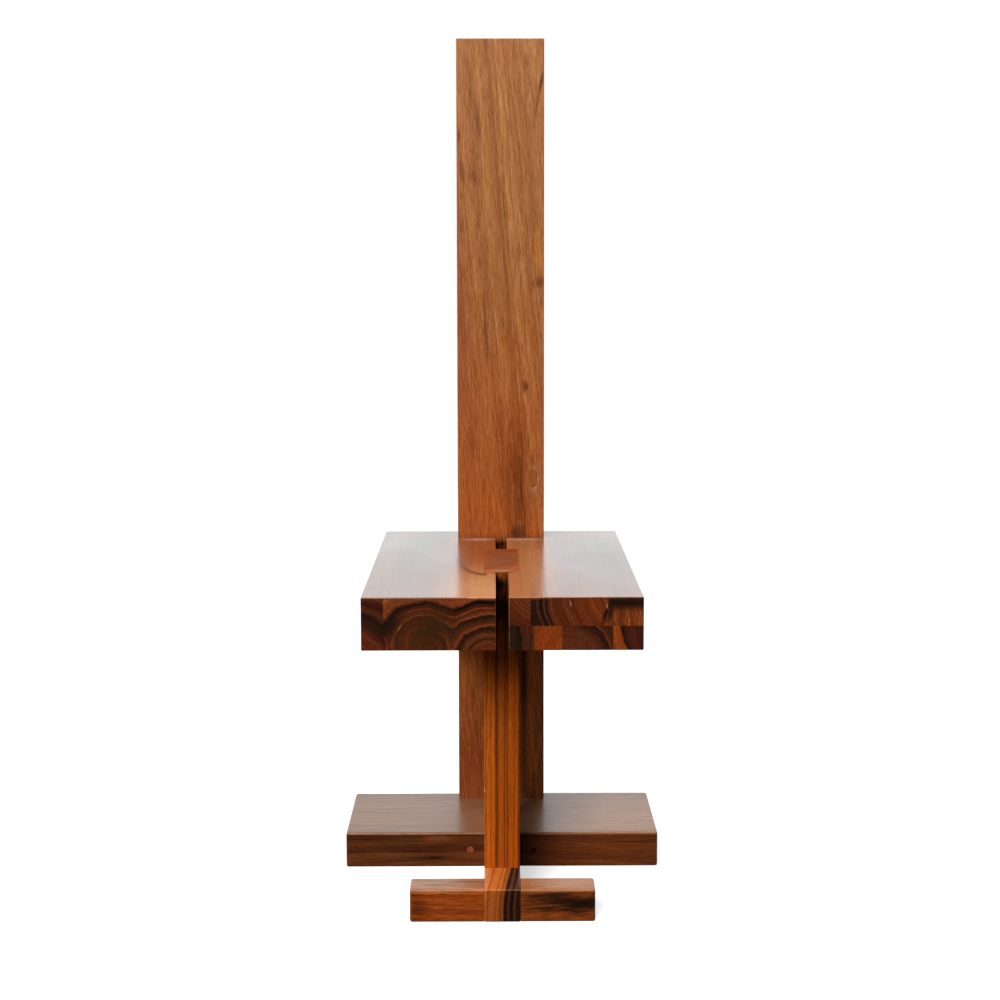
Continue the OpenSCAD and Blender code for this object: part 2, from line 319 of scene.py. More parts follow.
def timber(name, grain, piths, zones, ring=3.2, ring_depth=0.35, fibres=1.0, waver=5.0, end_shade=0.4,
           pale=0.0, calm_top=0.0, coat=1.0, gloss=0.2, marks=(), seed=0.0):
    """Solid timber with growth rings, colour zones, fibres, pores and an oil or varnish film.

    The wood is one solid pattern, so an end shows the arcs whose edges the long faces show as streaks.
    Its distance from the pith, in millimetres, is the smooth least of the distances to the pith lines,
    after a slow wavering of all points and a quick one. zones is a list of (distance, colour). A ring is
    one step of `ring` millimetres: it has its own chance tone, and a thin dark line where it ends, with a
    pale one beside it on an end if pale is set. fibres scales the contrast of the fine streaks, end_shade
    darkens the ends, and calm_top is the share of the contrast that the thick film on top takes away.
    """
    wood = bpy.data.materials.new(name)
    finish = Finish(wood)
    place = finish.add("TexCoord", {}, "Object")
    sway_reach = 0.004 * waver
    shiver_reach = 0.0014 * waver
    merging = 14.0
    distance = None
    for point, lean, further in piths:
        turn = [math.radians(angle) for angle in GRAIN_TURN[grain]]
        leaning = [axis for axis in range(3) if "XYZ"[axis] != grain]
        for axis, angle in zip(leaning, lean):
            turn[axis] += math.radians(angle)
        log = finish.add("Mapping", {"Vector": place, "Location": point, "Rotation": turn},
                         vector_type="TEXTURE")
        seeded = finish.vector("ADD", log, (seed, seed * 0.7, seed * 1.3))
        slow = finish.noise(finish.stretch(seeded, across=16, along=1.6), output="Color")
        quick = finish.noise(finish.stretch(seeded, across=120, along=8), detail=4.0, rough=0.6,
                             output="Color")
        flat = finish.vector("MULTIPLY", log, (1.0, 1.0, 0.0))
        swayed = finish.vector("ADD", flat, finish.wander(slow, sway_reach))
        swayed = finish.vector("ADD", swayed, finish.wander(quick, shiver_reach))
        reach = finish.math("MULTIPLY_ADD", finish.vector("LENGTH", swayed), 1000.0, further)
        distance = reach if distance is None else finish.math("SMOOTH_MIN", distance, reach, merging)

    # How far a point is inside each mark: one in its middle, and nothing past its frayed edge
    most_fray = 1.4
    fray_for_size = 150
    mark_edge = 1.05
    ring_calm = 0.6
    frayed = finish.noise(finish.stretch(seeded, across=260, along=26), detail=3.0, rough=0.6)
    patches = []
    calm = 1.0
    for centre, half, mark_colour, share, swell, slope in marks:
        from_centre = finish.vector("SUBTRACT", place, centre)
        if slope:
            rise = finish.vector("DOT_PRODUCT", from_centre, (0.0, 0.0, 1.0))
            shift = finish.add("CombineXYZ", {0: finish.math("MULTIPLY", rise, slope)})
            from_centre = finish.vector("SUBTRACT", from_centre, shift)
        near = finish.vector("LENGTH", finish.vector("DIVIDE", from_centre, half))
        fray = min(most_fray, fray_for_size * min(half))
        far = finish.math("MULTIPLY_ADD", frayed, fray, near)
        inside = finish.remap(far, mark_edge + fray / 2, fray / 2)
        patches.append((inside, tone(mark_colour), share))
        calm = finish.math("MULTIPLY", calm, finish.math("MULTIPLY_ADD", inside, -ring_calm * share, 1.0))
        if swell:
            distance = finish.math("MULTIPLY_ADD", inside, swell, distance)

    # Colour by distance from the pith, then each ring's own tone and its dark line
    furthest = zones[-1][0]
    colour = finish.ramp(finish.math("DIVIDE", distance, furthest),
                         [(radius / furthest, tone(shade)) for radius, shade in zones])
    for inside, mark_colour, share in patches:
        colour = finish.mix(finish.math("MULTIPLY", inside, share), colour, mark_colour)
    crowding = 2.2
    uneven = finish.noise(finish.stretch(seeded, across=22, along=2), detail=1.0)
    count = finish.math("MULTIPLY_ADD", uneven, crowding, finish.math("DIVIDE", distance, ring))
    whole = finish.math("FLOOR", count)
    part = finish.math("FRACT", count)
    chance = finish.add("TexWhiteNoise", {"W": whole}, "Value", noise_dimensions="1D")
    chance_next = finish.add("TexWhiteNoise", {"W": finish.math("ADD", whole, 1.0)}, "Value",
                             noise_dimensions="1D")
    glide = finish.remap(part, 0.55, 1.0)
    own = finish.math("ADD", finish.math("MULTIPLY", chance, finish.math("SUBTRACT", 1.0, glide)),
                      finish.math("MULTIPLY", chance_next, glide))
    late = finish.math("MULTIPLY", finish.remap(part, 0.62, 0.93), finish.remap(part, 1.0, 0.95))
    late = finish.math("MULTIPLY", late, finish.remap(chance, 0.1, 0.9, to_low=0.25, to_high=1.0))
    early_tone = finish.math("MULTIPLY_ADD", own, ring_depth * 0.9, 1 - ring_depth * 0.4)
    ring_tone = finish.math("SUBTRACT", early_tone, finish.math("MULTIPLY", late, ring_depth))
    ring_tone = finish.math("MULTIPLY_ADD", finish.math("SUBTRACT", ring_tone, 1.0), calm, 1.0)

    # Fibres and open pores, long on the faces and round on the ends
    fibre_depth = 0.22 * fibres
    streak_depth = 0.13 * fibres
    pore_depth = 0.34
    fibre = finish.noise(finish.stretch(seeded, across=950, along=40), detail=3.0, rough=0.65)
    streak = finish.noise(finish.stretch(seeded, across=400, along=12), detail=3.0, rough=0.6)
    fibre_tone = finish.math("ADD", finish.remap(fibre, 0.25, 0.75, 1 - fibre_depth, 1 + fibre_depth),
                             finish.remap(streak, 0.3, 0.7, -streak_depth, streak_depth))
    pore = finish.add("TexVoronoi",
                      {"Vector": finish.stretch(seeded, across=650, along=60), "Scale": 1.0}, "Distance")
    pore_dark = finish.remap(pore, 0.32, 0.12)
    pore_tone = finish.math("MULTIPLY_ADD", pore_dark, -pore_depth, 1.0)
    shade = finish.math("MULTIPLY", finish.math("MULTIPLY", ring_tone, fibre_tone), pore_tone)

    # The film on top takes contrast away, and the ends drink more oil, so they are darker
    mean_shade = 0.92
    facing = finish.add("NewGeometry", {}, "Normal")
    if calm_top:
        on_top = finish.remap(finish.vector("DOT_PRODUCT", facing, (0.0, 0.0, 1.0)), 0.7, 0.95)
        kept = finish.math("MULTIPLY_ADD", on_top, -calm_top, 1.0)
        shade = finish.math("MULTIPLY_ADD", finish.math("SUBTRACT", shade, mean_shade), kept, mean_shade)
    endways = finish.math("ABSOLUTE", finish.vector("DOT_PRODUCT", facing, GRAIN[grain]))
    on_end = finish.remap(endways, 0.75, 0.97)
    shade = finish.math("MULTIPLY", shade, finish.math("MULTIPLY_ADD", on_end, end_shade - 1, 1.0))
    if pale:
        early = finish.math("MULTIPLY", finish.remap(part, 0.0, 0.08), finish.remap(part, 0.3, 0.1))
        early = finish.math("MULTIPLY", early, finish.remap(chance_next, 0.35, 0.9))
        early = finish.math("MULTIPLY", early, finish.math("MULTIPLY", on_end, calm))
        shade = finish.math("MULTIPLY", shade, finish.math("MULTIPLY_ADD", early, pale, 1.0))

    # A dark tone is a redder one, because light goes deeper before it comes back
    red_power, green_power, blue_power = 0.85, 1.2, 1.6
    tints = {0: finish.math("POWER", shade, red_power), 1: finish.math("POWER", shade, green_power),
             2: finish.math("POWER", shade, blue_power)}
    colour = finish.mix(1.0, colour, finish.add("CombineColor", tints), "MULTIPLY")

    # The arrises are painted paler, partly as wear from handling and partly as a painted highlight where
    # their rounding catches the light: there the surface faces between two axes
    rub_and_highlight_share = 0.45
    parts = finish.tree.nodes.new("ShaderNodeSeparateXYZ")
    finish.fill(parts.inputs[0], finish.vector("ABSOLUTE", facing))
    level = finish.math("MAXIMUM", parts.outputs[0], parts.outputs[1])
    largest = finish.math("MAXIMUM", level, parts.outputs[2])
    patchy = finish.noise(finish.stretch(seeded, across=60, along=60), detail=3.0)
    rub_and_highlight = finish.math("MULTIPLY", finish.remap(largest, 0.97, 0.85),
                         finish.remap(patchy, 0.35, 0.6, 0.25, 0.8))
    colour = finish.mix(finish.math("MULTIPLY", rub_and_highlight, rub_and_highlight_share), colour, RUBBED_AND_HIGHLIT)

    # The grain's fine relief under the film, the film's own slow settling, and dull spots of wear
    height = finish.math("SUBTRACT", finish.math("MULTIPLY", fibre, 0.35), pore_dark)
    relief = finish.add("Bump", {"Strength": 0.35, "Distance": 0.00025, "Height": height})
    settle = finish.noise(finish.stretch(seeded, across=7, along=4))
    film = finish.add("Bump", {"Strength": 0.25, "Distance": 0.0006, "Height": settle})
    worn = finish.noise(finish.stretch(place, across=9.0, along=9.0), detail=3.0)
    roughness = finish.math("MULTIPLY_ADD", on_end, 0.12, finish.remap(worn, 0.3, 0.7, 0.45, 0.62))
    finish.show(finish.add("BsdfPrincipled", {
        "Base Color": colour, "Roughness": roughness, "Normal": relief, "Coat Normal": film,
        "IOR": 1.45, "Specular IOR Level": 0.06,
        "Coat Weight": coat, "Coat Roughness": gloss, "Coat IOR": 1.36}))
    return wood


def box_plan(node, open_front=True, open_right=True, open_rear=True, open_left=True):
    """A CAD node's plan as four corners, each with whether the wall after it is in the air."""
    low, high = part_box(node)
    return [(low.x, low.y, open_front), (high.x, low.y, open_right),
            (high.x, high.y, open_rear), (low.x, high.y, open_left)]


def hand_in(piece, slot_name, material, *nodes):
    """Gives a finished piece its material, its body and the CAD nodes that it stands for.

    Edges steeper than a bevel's own steps are sharp, and the wide faces set the shading beside them.
    slot_name is not used.
    """
    if not piece.modifiers:
        piece.data.polygons.foreach_set("use_smooth", np.ones(len(piece.data.polygons), bool))
        piece.data.set_sharp_from_angle(angle=math.radians(35))
        flat_faces = piece.modifiers.new("flat_faces", "WEIGHTED_NORMAL")
        flat_faces.keep_sharp = True
        flat_faces.weight = 100
    piece.data.materials.clear()
    piece.data.materials.append(material)
    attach(piece, "root")
    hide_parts(*nodes)


plank_low, plank_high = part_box("back_plank")
seat_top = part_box("seat_left_main_stave")[1].z


def on_plank(x, z, half_x, half_z, depth, colour, share, **lie):
    """A mark on the back plank's front face, which fades over its own depth behind it."""
    return mark((x, plank_low.y, z), (half_x, depth, half_z), colour, share, **lie)


plank_marks = [
    # The lower half is deeper in colour. Below the seat a pale patch on each side is painted light that
    # lifts the shade of the seat and the post, over a deeper tone low on the left and a dark streak beside
    # the post
    on_plank(0.0, 0.400, 0.20, 0.520, 0.20, (156, 76, 23), 0.85),
    on_plank(-0.050, 0.130, 0.070, 0.250, 0.08, (142, 66, 28), 0.9),
    on_plank(-0.050, 0.275, 0.070, 0.170, 0.08, (228, 128, 62), 0.9),
    on_plank(0.052, 0.245, 0.044, 0.200, 0.05, (250, 158, 88), 0.85),
    on_plank(0.034, 0.270, 0.009, 0.310, 0.05, (28, 13, 8), 0.85),
    # Cloudy streaks and flecks on the left
    on_plank(-0.033, 1.068, 0.0055, 0.048, 0.05, (112, 60, 42), 0.75, swell=1.0, slope=-0.03),
    on_plank(-0.022, 0.76, 0.0045, 0.075, 0.05, (100, 50, 34), 0.75, swell=1.0, slope=-0.05),
    on_plank(-0.030, 0.860, 0.0018, 0.016, 0.02, (84, 44, 24), 0.8, slope=-0.03),
    on_plank(-0.060, 1.045, 0.0025, 0.014, 0.02, (74, 36, 20), 0.85),
    on_plank(-0.056, 0.990, 0.006, 0.026, 0.02, (104, 50, 28), 0.75, swell=1.0, slope=-0.1),
    on_plank(-0.040, 0.985, 0.010, 0.014, 0.02, (108, 56, 34), 0.65, swell=1.5, slope=-0.2),
    # Two short checks by the top right corner, and fine dark lines that lean with the grain
    on_plank(0.0595, 1.121, 0.0036, 0.024, 0.02, (54, 24, 13), 0.9, slope=0.16),
    on_plank(0.054, 1.092, 0.0021, 0.040, 0.02, (96, 50, 24), 0.7, slope=0.16),
    on_plank(0.0217, 1.115, 0.0021, 0.056, 0.03, (108, 62, 32), 0.4, slope=-0.225),
    on_plank(0.0435, 1.120, 0.0021, 0.044, 0.03, (98, 54, 28), 0.45, slope=-0.18),
    on_plank(0.033, 1.090, 0.0027, 0.030, 0.03, (112, 64, 34), 0.4, slope=-0.2),
    on_plank(0.044, 1.040, 0.0018, 0.022, 0.02, (112, 64, 34), 0.45, slope=-0.3),
    on_plank(0.006, 0.932, 0.0019, 0.040, 0.02, (94, 50, 24), 0.6, slope=-0.08),
    on_plank(0.011, 0.870, 0.0018, 0.050, 0.02, (112, 64, 34), 0.6, slope=-0.08),
    # A knot on the right edge with bright wood above it, and a pin knot further down
    on_plank(0.060, 0.833, 0.017, 0.015, 0.03, (104, 48, 24), 0.8, swell=7.0, slope=0.3),
    on_plank(0.057, 0.875, 0.010, 0.050, 0.03, (178, 108, 38), 0.6, swell=2.0, slope=-0.05),
    on_plank(0.036, 0.677, 0.007, 0.014, 0.03, (84, 36, 16), 0.85, swell=6.0),
    # Dark heartwood that rises from the seat, and the dark foot of the face
    on_plank(0.018, 0.565, 0.036, 0.130, 0.04, (122, 55, 18), 0.65, swell=2.0, slope=-0.05),
    on_plank(0.024, 0.510, 0.018, 0.120, 0.05, (98, 44, 15), 0.6, slope=-0.03),
    on_plank(0.031, 0.540, 0.0030, 0.090, 0.05, (44, 22, 10), 0.5),
    on_plank(0.024, 0.455, 0.020, 0.022, 0.05, (34, 17, 7), 0.8),
    on_plank(0.0, 0.450, 0.20, 0.012, 0.02, (104, 50, 20), 0.5),
    # Painted shade, nearly black, where the face stands in the seat's slot
    on_plank(0.0, 0.4415, 0.04, 0.0095, 0.02, (9, 5, 3), 0.97),
    on_plank(0.0, 0.4300, 0.04, 0.0140, 0.02, (9, 5, 3), 0.97),
    # The rings bulge round the patch, and its glue line is pale
    on_plank(0.049, 0.535, 0.018, 0.055, 0.03, (134, 84, 54), 0.6, swell=3.0),
    on_plank(0.047, 0.541, 0.0120, 0.0220, 0.01, (190, 136, 96), 0.9)]
plank_zones = [(0, (142, 90, 50)), (34, (154, 100, 58)), (48, (144, 88, 48)), (56, (158, 102, 56)),
               (70, (138, 84, 46)), (82, (156, 100, 54)), (96, (142, 88, 50)), (112, (154, 96, 52)),
               (130, (138, 82, 48)), (170, (150, 92, 52))]
back_wood = timber("oiled_back_plank", "Z", [pith((0.050, 0.095, 1.072), lean=(-1.7, -3.6))], plank_zones,
                   ring=3.6, ring_depth=0.26, fibres=1.3, waver=5.0, end_shade=0.5, coat=0.6,
                   gloss=0.3, marks=plank_marks)
back_plank = planed_board("planed_back_plank", box_plan("back_plank"), plank_low.z, plank_high.z,
                          open_bottom=False)
patch_low, patch_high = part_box("back_patch")
patch_centre = ((patch_low.x + patch_high.x) / 2, (patch_low.z + patch_high.z) / 2)
patch_half = ((patch_high.x - patch_low.x) / 2, (patch_high.z - patch_low.z) / 2)


# ---- Patch in the back plank ----------------------------------------------------------------------
# A small oval of brighter wood let into the front of the back plank, where a defect was cut out. It is
# glued into a pocket that fits it, with its grain upright.
def rounded_plug(name, centre, half_x, half_z, front, depth, rim):
    """A plug let into a face that looks towards -Y: a round or oval outline carried from front to back.

    Point k of the outline is at the angle 2 pi k / n round an end of radius half_x, and the two ends are
    half_z - half_x above and below the centre. The rings of the front rim follow a quarter round: each is
    drawn in by rim times one less the sine of its angle, and lies behind the front by rim times one less
    the cosine. The last ring is the whole outline at the full depth.
    """
    outline_points = 64
    rim_rings = 4
    around = np.linspace(0, 2 * np.pi, outline_points, endpoint=False)
    straight = half_z - half_x
    quarter = np.linspace(0, np.pi / 2, rim_rings)
    inset = np.append(rim * (1 - np.sin(quarter)), 0.0)
    behind_front = np.append(rim * (1 - np.cos(quarter)), depth)
    reach = half_x - inset[:, None]
    x = centre[0] + reach * np.cos(around)
    z = centre[1] + reach * np.sin(around) + np.where(np.sin(around) >= 0, straight, -straight)
    y = front + np.broadcast_to(behind_front[:, None], x.shape)
    rows, columns = x.shape
    points = np.stack([x, y, z], -1).reshape(-1, 3)
    j, k = np.meshgrid(np.arange(rows - 1), np.arange(columns), indexing="ij")
    k_after = (k + 1) % columns
    faces = np.stack([j * columns + k, j * columns + k_after,
                      (j + 1) * columns + k_after, (j + 1) * columns + k], -1).reshape(-1, 4)
    ends = [np.arange(columns)[::-1].tolist(), ((rows - 1) * columns + np.arange(columns)).tolist()]
    mesh = bpy.data.meshes.new(name)
    mesh.from_pydata(points.tolist(), [], ends + faces[:, ::-1].tolist())
    tidy = bmesh.new()
    tidy.from_mesh(mesh)
    bmesh.ops.recalc_face_normals(tidy, faces=tidy.faces)
    tidy.to_mesh(mesh)
    tidy.free()
    plug = bpy.data.objects.new(name, mesh)
    bpy.context.scene.collection.objects.link(plug)
    return plug


over = 0.001
pocket_depth = 0.006
cut(back_plank, rounded_plug("cutter", patch_centre, *patch_half, front=plank_low.y - over,
                             depth=over + pocket_depth, rim=0.0))
bore_for(back_plank, "back_seat_dowels")
bore_for(back_plank, "rear_foot_screws")
hand_in(back_plank, "back_wood", back_wood, "back_plank")

glue_line = 0.0002
back_patch = rounded_plug("let_in_patch", patch_centre, patch_half[0] - glue_line,
                          patch_half[1] - glue_line, patch_low.y, patch_high.y - patch_low.y, rim=0.0005)
patch_wood = timber("oiled_patch", "Z", [pith((0.10, 0.2, 0.5), lean=(0, 1.0))],
                    [(0, (152, 88, 40)), (90, (146, 80, 34)), (100, (158, 92, 42)), (140, (136, 74, 31))],
                    end_shade=1.0, coat=0.6, gloss=0.3, seed=4.0)
hand_in(back_patch, "patch_wood", patch_wood, "back_patch")


# ---- Front post -----------------------------------------------------------------------------------
# One straight board set edge-on under the front half of the seat. Its top is a through tenon whose end
# is planed flush with the seat, and its foot stands on the runner, doweled to it.
post_low, post_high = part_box("front_post")
foot_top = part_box("foot_runner")[1].z
post_zones = [(0, (182, 86, 16)), (228, (178, 82, 15)), (233, (188, 92, 22)), (238.5, (176, 82, 16)),
              (240, (78, 30, 6)), (241.5, (182, 86, 17)), (247, (190, 92, 20)), (249, (74, 28, 6)),
              (250.5, (176, 82, 16)), (255, (188, 92, 22)), (257.5, (84, 34, 7)), (260, (184, 88, 18)),
              (275, (164, 76, 15)), (300, (160, 74, 14))]
post_marks = [
    # The sawn end, flush with the seat's top: dull, with four short checks and a pale rim in front
    mark((0.0, 0.0, post_high.z), (0.06, 0.14, 0.004), (94, 66, 54), 0.6),
    mark((0.010, 0.056, post_high.z), (0.030, 0.005, 0.003), (96, 48, 26), 0.7),
    mark((-0.010, 0.030, post_high.z), (0.024, 0.003, 0.003), (96, 52, 32), 0.5),
    mark((0.014, 0.008, post_high.z), (0.018, 0.004, 0.003), (84, 38, 20), 0.7),
    mark((0.012, -0.022, post_high.z), (0.020, 0.003, 0.003), (90, 42, 24), 0.6),
    mark((0.0, -0.054, post_high.z), (0.034, 0.006, 0.003), (190, 140, 104), 0.7),
    # A pale nick in the left arris, and painted shade, nearly black, where the face stands in the slot
    mark((-0.0237, post_low.y, 0.152), (0.0014, 0.003, 0.004), (236, 200, 150), 0.9),
    mark((0.0, post_low.y, 0.405), (0.05, 0.02, 0.060), (14, 6, 3), 0.95),
    mark((0.0, post_low.y, 0.434), (0.05, 0.02, 0.020), (10, 5, 3), 0.95)]
post_wood = timber("oiled_front_post", "Z", [pith((0.155, -0.263, 0.2), lean=(0.0, 0.4))], post_zones,
                   ring=3.6, ring_depth=0.6, waver=1.6, end_shade=0.9, coat=0.3, gloss=0.3, seed=2.0,
                   marks=post_marks)
front_post = planed_board("planed_front_post", box_plan("front_post"), foot_top, post_high.z,
                          open_top=False, open_bottom=False)
bore_for(front_post, "post_seat_dowels")
bore_for(front_post, "runner_dowels")
hand_in(front_post, "post_wood", post_wood, "front_post")


# ---- Seat -----------------------------------------------------------------------------------------
# Nine staves of mixed boards, edge-glued in two layers on the right and one thick layer on the left,
# then sawn square and varnished. Every stave runs front to back, so its end grain shows in front.
seat_staves = sorted(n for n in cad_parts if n.startswith("seat_"))
seat_front = min(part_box(n)[0].y for n in seat_staves)
seat_rear = max(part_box(n)[1].y for n in seat_staves)
seat_side = max(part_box(n)[1].x for n in seat_staves)
seat_low = min(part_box(n)[0].z for n in seat_staves)
slot_side = min(abs(x) for n in seat_staves for x in (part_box(n)[0].x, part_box(n)[1].x))
# Lengths that differ by less than this, in metres, are one length
close = 1e-5


def stave_plan(node):
    """A stave's plan: its own width, stepped back where the post and the back plank pass through."""
    low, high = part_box(node)
    inner, outer = sorted((abs(low.x), abs(high.x)))
    steps = [(seat_front, post_low.y, slot_side), (post_low.y, post_high.y, post_high.x),
             (post_high.y, plank_low.y, slot_side), (plank_low.y, seat_rear, plank_high.x)]
    steps = [(a, b, max(inner, side)) for a, b, side in steps if max(inner, side) < outer - close]
    path = [(outer, steps[0][0]), (outer, steps[-1][1])]
    for a, b, side in reversed(steps):
        path += [(side, b), (side, a)]
    path = [p for k, p in enumerate(path) if math.dist(p, path[k - 1]) > close]
    # A point on a straight run is no corner: the cross product of the walls beside it is nothing
    before, after = path[-1:] + path[:-1], path[1:] + path[:1]
    turns = [(b[0] - p[0]) * (a[1] - p[1]) - (b[1] - p[1]) * (a[0] - p[0])
             for b, p, a in zip(before, path, after)]
    path = [p for p, turn in zip(path, turns) if abs(turn) > close * close]
    if high.x <= 0:
        path = [(-x, y) for x, y in reversed(path)]
    corners = []
    for (x, y), (next_x, next_y) in zip(path, path[1:] + path[:1]):
        along = [abs(y - next_y) < close and min(abs(y - seat_front), abs(y - seat_rear)) < close,
                 abs(x - next_x) < close and min(abs(abs(x) - seat_side), abs(abs(x) - slot_side)) < close]
        corners.append((x, y, any(along)))
    return corners


def lay_stave(node, piths, zones, **figure):
    """Makes one stave of the seat between its CAD node's faces, with its own log's figure."""
    low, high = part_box(node)
    stave = planed_board("planed_" + node, stave_plan(node), low.z, high.z,
                         open_top=high.z > seat_top - close, open_bottom=low.z < seat_low + close)
    for fixings in ("post_seat_dowels", "back_seat_dowels"):
        bore_for(stave, fixings)
    wood = timber("varnished_" + node, "Y", piths, zones, calm_top=0.8, **figure)
    hand_in(stave, "seat_wood", wood, node)


def on_seat(x, y, half_x, half_y, depth, colour, share):
    """A mark on the seat's top, which fades over its own depth below it."""
    return mark((x, y, seat_top), (half_x, half_y, depth), colour, share)


def on_end(x, z, half_x, half_z, depth, colour, share, **lie):
    """A mark on the sawn ends in front, which fades over its own depth behind them."""
    return mark((x, seat_front, z), (half_x, depth, half_z), colour, share, **lie)


# Dark heartwood, its rings falling towards the middle of the seat
# Painted shade, nearly black, laid on the walls of the slot in front of the post
slot_painted_shade = (22, 10, 5)
lay_stave("seat_left_edge_stave", [pith((-0.198, seat_front, 0.350), lean=(0.5, 0.0))],
          [(30, (140, 72, 34)), (56, (134, 68, 32)), (66, (112, 54, 26)), (72, (62, 34, 18)),
           (82, (52, 29, 16)), (88, (104, 54, 28)), (96, (80, 42, 24)), (104, (110, 56, 30)),
           (120, (90, 48, 28))],
          ring=2.6, ring_depth=0.9, waver=4.0, end_shade=0.40, pale=2.0, seed=11.0,
          marks=[on_seat(-0.165, 0.0, 0.140, 0.60, 0.006, (124, 84, 62), 0.95)])

# A forked log: two piths inside one dark shake, with pale sapwood outside it that makes the top.
# The shake comes out of the top as a thin curved line, nearly a quarter of an ellipse round the post,
# and it is darker towards its front end.
shake_centre = (-0.020, 0.036)
shake_reach = (0.042, 0.108)
shake = [mark((shake_centre[0] - shake_reach[0] * math.cos(angle),
               shake_centre[1] - shake_reach[1] * math.sin(angle), seat_top),
              (0.0060, 0.010, 0.004), (70, 34, 16), 0.25 + 0.4 * angle)
         for angle in np.linspace(0.2, 1.5, 14).tolist()]
lay_stave("seat_left_main_stave",
          [pith((-0.094, seat_front, 0.387), lean=(0.6, 1.0)),
           pith((-0.013, seat_front, 0.366), lean=(-0.4, 1.0), further=-23.5)],
          [(0, (108, 52, 20)), (8, (90, 46, 18)), (14, (104, 52, 20)), (18, (54, 26, 13)),
           (22, (40, 18, 10)), (24.5, (126, 60, 27)), (26, (152, 75, 33)), (28, (112, 52, 20)),
           (32, (76, 36, 14)), (36, (40, 22, 10)), (38.5, (46, 24, 11)), (40, (150, 78, 40)),
           (41.5, (126, 58, 26)), (44, (96, 44, 18)), (48, (128, 60, 26)), (52, (84, 40, 17)),
           (55, (20, 10, 6)), (57.5, (16, 8, 5)), (58.8, (112, 54, 25)), (60, (142, 70, 31)),
           (68, (148, 76, 35)), (76, (168, 96, 55)), (100, (170, 98, 55))],
          ring=2.7, ring_depth=0.85, waver=4.5, end_shade=0.62, pale=1.3, seed=5.0,
          marks=[on_end(-0.105, 0.395, 0.064, 0.066, 0.20, (92, 48, 19), 0.9),
                 on_end(-0.086, 0.412, 0.040, 0.050, 0.004, (64, 40, 12), 0.85, slope=0.2),
                 on_end(-0.139, 0.414, 0.022, 0.034, 0.004, (34, 21, 9), 0.92, slope=0.5),
                 on_end(-0.127, 0.412, 0.0012, 0.007, 0.004, (220, 140, 96), 0.7, slope=0.7),
                 on_seat(-0.126, 0.0, 0.120, 0.60, 0.006, (104, 73, 57), 0.93),
                 # A painted reflection: a paler patch at the front of the top, where the film mirrors the
                 # lit wall
                 on_seat(-0.020, -0.150, 0.070, 0.170, 0.003, (196, 144, 98), 0.75),
                 on_seat(-0.034, 0.126, 0.038, 0.019, 0.004, (180, 148, 124), 0.75),
                 *shake,
                 # Painted shade on the stave's slot wall
                 mark((-0.008, -0.12, 0.415), (0.003, 0.09, 0.045), slot_painted_shade, 0.9)])

# The right slab's upper layer: pale wood by the slot, striped heartwood, and dark wood over a split
lay_stave("seat_right_upper_inner_stave", [pith((0.044, seat_front, 0.4635), lean=(0.3, 0.0))],
          [(0, (164, 104, 62)), (24, (158, 98, 56)), (40, (168, 98, 52)), (50, (140, 76, 40)),
           (60, (110, 56, 30))],
          ring=4.3, ring_depth=0.6, waver=2.2, end_shade=0.22, pale=2.0, seed=7.0,
          # Painted shade on the stave's slot wall, and a pale strip by the back plank
          marks=[mark((0.008, -0.12, 0.430), (0.003, 0.09, 0.045), slot_painted_shade, 0.85),
                 on_seat(0.026, 0.126, 0.060, 0.019, 0.004, (176, 144, 120), 0.75)])

lay_stave("seat_right_upper_main_stave", [pith((0.174, seat_front, 0.461), lean=(0.4, -0.6))],
          [(40, (172, 92, 40)), (70, (162, 84, 36)), (84, (140, 70, 32)), (110, (136, 68, 34)),
           (118, (118, 62, 34)), (121, (58, 32, 18)), (123, (72, 42, 24)), (124.5, (128, 82, 54)),
           (126, (52, 30, 17)), (129.5, (48, 28, 16)), (131, (116, 74, 50)), (132.5, (92, 56, 36)),
           (134, (48, 28, 15)), (139, (58, 34, 18)), (150, (80, 44, 26))],
          ring=2.8, ring_depth=0.8, waver=3.4, end_shade=0.40, pale=1.8, fibres=0.7, seed=9.0,
          marks=[on_end(0.1275, 0.428, 0.0055, 0.022, 0.0015, (22, 13, 8), 0.95, slope=0.3),
                 on_end(0.0842, 0.442, 0.0013, 0.005, 0.002, (255, 205, 180), 0.9, slope=-0.2),
                 on_end(0.1290, 0.4385, 0.0013, 0.005, 0.002, (255, 205, 180), 0.9, slope=0.2),
                 on_seat(0.125, 0.0, 0.110, 0.50, 0.004, (102, 70, 54), 0.9),
                 on_seat(0.040, 0.0, 0.040, 0.50, 0.004, (166, 106, 66), 0.95),
                 on_seat(0.038, 0.126, 0.034, 0.019, 0.004, (176, 144, 120), 0.75)])

lay_stave("seat_right_upper_edge_stave", [pith((0.330, seat_front, 0.470), lean=(0.3, 0.0))],
          [(140, (170, 90, 38)), (170, (166, 88, 38)), (190, (150, 78, 36)), (210, (160, 86, 38))],
          ring=3.2, ring_depth=0.8, waver=6.0, end_shade=0.5, pale=1.4, seed=13.0,
          marks=[on_end(0.155, 0.456, 0.120, 0.030, 0.0022, (34, 19, 12), 0.96),
                 on_end(0.155, 0.4425, 0.120, 0.0125, 0.0022, (34, 19, 12), 0.96),
                 on_end(0.1325, 0.428, 0.0055, 0.024, 0.0015, (30, 18, 10), 0.9, slope=0.3),
                 on_seat(0.155, 0.0, 0.100, 0.50, 0.004, (102, 70, 54), 0.9)])

